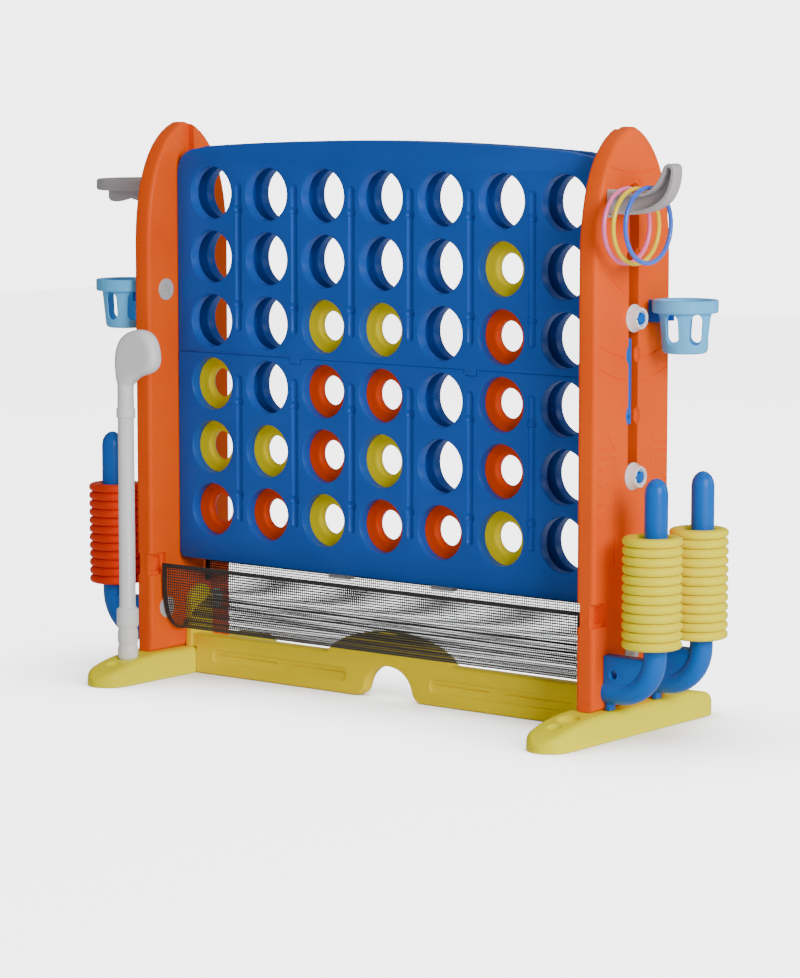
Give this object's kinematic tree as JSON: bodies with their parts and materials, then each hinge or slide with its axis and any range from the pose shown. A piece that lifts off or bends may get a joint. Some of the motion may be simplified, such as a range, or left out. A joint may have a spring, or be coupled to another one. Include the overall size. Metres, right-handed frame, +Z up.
{
  "type": "giant four in a row lawn game",
  "caption": "Giant upright four in a row game in blue and orange plastic, with discs, catch net, ring pegs, hook, hoop, baskets and club.",
  "frame": {"origin": "middle of the footprint on the ground, under the centre of the whole outline", "axes": "+X along the board from the club and hoop side towards the ring hook side, +Y from the front with the club towards the back, +Z up"},
  "size_m": [1.4462, 0.51, 1.0564],
  "materials": {
    "tower_orange": "satin moulded polyethylene",
    "board_blue": "satin moulded plastic",
    "peg_blue": "satin moulded plastic",
    "sky_blue": "satin moulded plastic",
    "base_yellow": "satin moulded polyethylene",
    "bar_gold": "satin moulded polyethylene",
    "disc_red": "satin moulded plastic",
    "disc_yellow": "satin moulded plastic",
    "ring_orange": "satin moulded plastic",
    "ring_yellow": "satin moulded plastic",
    "grey": "satin moulded plastic",
    "white": "satin moulded plastic",
    "pink": "smooth",
    "toss_yellow": "smooth",
    "toss_blue": "smooth",
    "net_black": "open woven mesh with a bound edge"
  },
  "bodies": {
    "stand": {"tower_left": "tower_orange", "tower_right": "tower_orange", "foot_left": "base_yellow", "foot_right": "base_yellow", "crossbar": "bar_gold", "net_trough": "net_black", "ring_hook": "grey", "hoop": "grey", "basket_bracket_left": "board_blue", "basket_bracket_right": "board_blue", "post_left_front": "peg_blue", "post_left_back": "peg_blue", "post_right_front": "peg_blue", "post_right_back": "peg_blue"},
    "board": {"panel_front_upper": "board_blue", "panel_front_lower": "board_blue", "panel_back_upper": "board_blue", "panel_back_lower": "board_blue", "column_rail_1": "board_blue", "column_rail_2": "board_blue", "column_rail_3": "board_blue", "column_rail_4": "board_blue", "column_rail_5": "board_blue", "column_rail_6": "board_blue", "board_side_left": "peg_blue", "board_side_right": "peg_blue"},
    "release_bar": {"release_bar": "grey"},
    "club": {"club": "white"},
    "knob_left_lower": {"knob_left_lower": "white"},
    "knob_left_upper": {"knob_left_upper": "white"},
    "basket_left": {"basket_left": "sky_blue"},
    "ring_stack_left_front": {"ring_stack_left_front": "ring_orange"},
    "ring_stack_left_back": {"ring_stack_left_back": "ring_orange"},
    "knob_right_lower": {"knob_right_lower": "white"},
    "knob_right_upper": {"knob_right_upper": "white"},
    "basket_right": {"basket_right": "sky_blue"},
    "ring_stack_right_front": {"ring_stack_right_front": "ring_yellow"},
    "ring_stack_right_back": {"ring_stack_right_back": "ring_yellow"},
    "toss_ring_pink": {"toss_ring_pink": "pink"},
    "toss_ring_yellow": {"toss_ring_yellow": "toss_yellow"},
    "toss_ring_blue": {"toss_ring_blue": "toss_blue"},
    "disc_c1_r1": {"disc_c1_r1": "disc_red"},
    "disc_c1_r2": {"disc_c1_r2": "disc_yellow"},
    "disc_c1_r3": {"disc_c1_r3": "disc_yellow"},
    "disc_c2_r1": {"disc_c2_r1": "disc_red"},
    "disc_c2_r2": {"disc_c2_r2": "disc_yellow"},
    "disc_c3_r1": {"disc_c3_r1": "disc_yellow"},
    "disc_c3_r2": {"disc_c3_r2": "disc_red"},
    "disc_c3_r3": {"disc_c3_r3": "disc_red"},
    "disc_c3_r4": {"disc_c3_r4": "disc_yellow"},
    "disc_c4_r1": {"disc_c4_r1": "disc_red"},
    "disc_c4_r2": {"disc_c4_r2": "disc_yellow"},
    "disc_c4_r3": {"disc_c4_r3": "disc_red"},
    "disc_c4_r4": {"disc_c4_r4": "disc_yellow"},
    "disc_c5_r1": {"disc_c5_r1": "disc_red"},
    "disc_c6_r1": {"disc_c6_r1": "disc_yellow"},
    "disc_c6_r2": {"disc_c6_r2": "disc_red"},
    "disc_c6_r3": {"disc_c6_r3": "disc_red"},
    "disc_c6_r4": {"disc_c6_r4": "disc_red"},
    "disc_c6_r5": {"disc_c6_r5": "disc_yellow"}
  },
  "joints": [
    {"name": "board_height", "type": "slide", "parent": "stand", "child": "board", "axis": [0, 0, 1], "range_m": [0, 0.2112]},
    {"name": "release_slide", "type": "slide", "parent": "board", "child": "release_bar", "axis": [1, 0, 0], "range_m": [0, 0.064]},
    {"name": "club_lift", "type": "slide", "parent": "stand", "child": "club", "axis": [0, 0, 1], "range_m": [0, 0.1]},
    {"name": "knob_left_lower_turn", "type": "hinge", "parent": "board", "child": "knob_left_lower", "pos_m": [-0.4955, 0, 0.452], "axis": [-1, 0, 0], "range_deg": [0, 90]},
    {"name": "knob_left_upper_turn", "type": "hinge", "parent": "board", "child": "knob_left_upper", "pos_m": [-0.4955, 0, 0.727], "axis": [-1, 0, 0], "range_deg": [0, 90]},
    {"name": "basket_left_lift", "type": "slide", "parent": "stand", "child": "basket_left", "axis": [0, 0, 1], "range_m": [0, 0.04]},
    {"name": "ring_stack_left_front_lift", "type": "slide", "parent": "stand", "child": "ring_stack_left_front", "axis": [0, 0, 1], "range_m": [0, 0.3]},
    {"name": "ring_stack_left_back_lift", "type": "slide", "parent": "stand", "child": "ring_stack_left_back", "axis": [0, 0, 1], "range_m": [0, 0.3]},
    {"name": "knob_right_lower_turn", "type": "hinge", "parent": "board", "child": "knob_right_lower", "pos_m": [0.5845, 0, 0.452], "axis": [1, 0, 0], "range_deg": [0, 90]},
    {"name": "knob_right_upper_turn", "type": "hinge", "parent": "board", "child": "knob_right_upper", "pos_m": [0.5845, 0, 0.727], "axis": [1, 0, 0], "range_deg": [0, 90]},
    {"name": "basket_right_lift", "type": "slide", "parent": "stand", "child": "basket_right", "axis": [0, 0, 1], "range_m": [0, 0.04]},
    {"name": "ring_stack_right_front_lift", "type": "slide", "parent": "stand", "child": "ring_stack_right_front", "axis": [0, 0, 1], "range_m": [0, 0.3]},
    {"name": "ring_stack_right_back_lift", "type": "slide", "parent": "stand", "child": "ring_stack_right_back", "axis": [0, 0, 1], "range_m": [0, 0.3]},
    {"name": "toss_ring_pink_lift", "type": "slide", "parent": "stand", "child": "toss_ring_pink", "axis": [0, 0, 1], "range_m": [0, 0.07]},
    {"name": "toss_ring_yellow_lift", "type": "slide", "parent": "stand", "child": "toss_ring_yellow", "axis": [0, 0, 1], "range_m": [0, 0.07]},
    {"name": "toss_ring_blue_lift", "type": "slide", "parent": "stand", "child": "toss_ring_blue", "axis": [0, 0, 1], "range_m": [0, 0.07]},
    {"name": "disc_c1_r1_lift", "type": "slide", "parent": "board", "child": "disc_c1_r1", "axis": [0, 0, 1], "range_m": [0, 0.12]},
    {"name": "disc_c1_r2_lift", "type": "slide", "parent": "disc_c1_r1", "child": "disc_c1_r2", "axis": [0, 0, 1], "range_m": [0, 0.12]},
    {"name": "disc_c1_r3_lift", "type": "slide", "parent": "disc_c1_r2", "child": "disc_c1_r3", "axis": [0, 0, 1], "range_m": [0, 0.536]},
    {"name": "disc_c2_r1_lift", "type": "slide", "parent": "board", "child": "disc_c2_r1", "axis": [0, 0, 1], "range_m": [0, 0.24]},
    {"name": "disc_c2_r2_lift", "type": "slide", "parent": "disc_c2_r1", "child": "disc_c2_r2", "axis": [0, 0, 1], "range_m": [0, 0.656]},
    {"name": "disc_c3_r1_lift", "type": "slide", "parent": "board", "child": "disc_c3_r1", "axis": [0, 0, 1], "range_m": [0, 0.06]},
    {"name": "disc_c3_r2_lift", "type": "slide", "parent": "disc_c3_r1", "child": "disc_c3_r2", "axis": [0, 0, 1], "range_m": [0, 0.06]},
    {"name": "disc_c3_r3_lift", "type": "slide", "parent": "disc_c3_r2", "child": "disc_c3_r3", "axis": [0, 0, 1], "range_m": [0, 0.06]},
    {"name": "disc_c3_r4_lift", "type": "slide", "parent": "disc_c3_r3", "child": "disc_c3_r4", "axis": [0, 0, 1], "range_m": [0, 0.416]},
    {"name": "disc_c4_r1_lift", "type": "slide", "parent": "board", "child": "disc_c4_r1", "axis": [0, 0, 1], "range_m": [0, 0.06]},
    {"name": "disc_c4_r2_lift", "type": "slide", "parent": "disc_c4_r1", "child": "disc_c4_r2", "axis": [0, 0, 1], "range_m": [0, 0.06]},
    {"name": "disc_c4_r3_lift", "type": "slide", "parent": "disc_c4_r2", "child": "disc_c4_r3", "axis": [0, 0, 1], "range_m": [0, 0.06]},
    {"name": "disc_c4_r4_lift", "type": "slide", "parent": "disc_c4_r3", "child": "disc_c4_r4", "axis": [0, 0, 1], "range_m": [0, 0.416]},
    {"name": "disc_c5_r1_lift", "type": "slide", "parent": "board", "child": "disc_c5_r1", "axis": [0, 0, 1], "range_m": [0, 0.776]},
    {"name": "disc_c6_r1_lift", "type": "slide", "parent": "board", "child": "disc_c6_r1", "axis": [0, 0, 1], "range_m": [0, 0.024]},
    {"name": "disc_c6_r2_lift", "type": "slide", "parent": "disc_c6_r1", "child": "disc_c6_r2", "axis": [0, 0, 1], "range_m": [0, 0.024]},
    {"name": "disc_c6_r3_lift", "type": "slide", "parent": "disc_c6_r2", "child": "disc_c6_r3", "axis": [0, 0, 1], "range_m": [0, 0.024]},
    {"name": "disc_c6_r4_lift", "type": "slide", "parent": "disc_c6_r3", "child": "disc_c6_r4", "axis": [0, 0, 1], "range_m": [0, 0.024]},
    {"name": "disc_c6_r5_lift", "type": "slide", "parent": "disc_c6_r4", "child": "disc_c6_r5", "axis": [0, 0, 1], "range_m": [0, 0.296]}
  ]
}
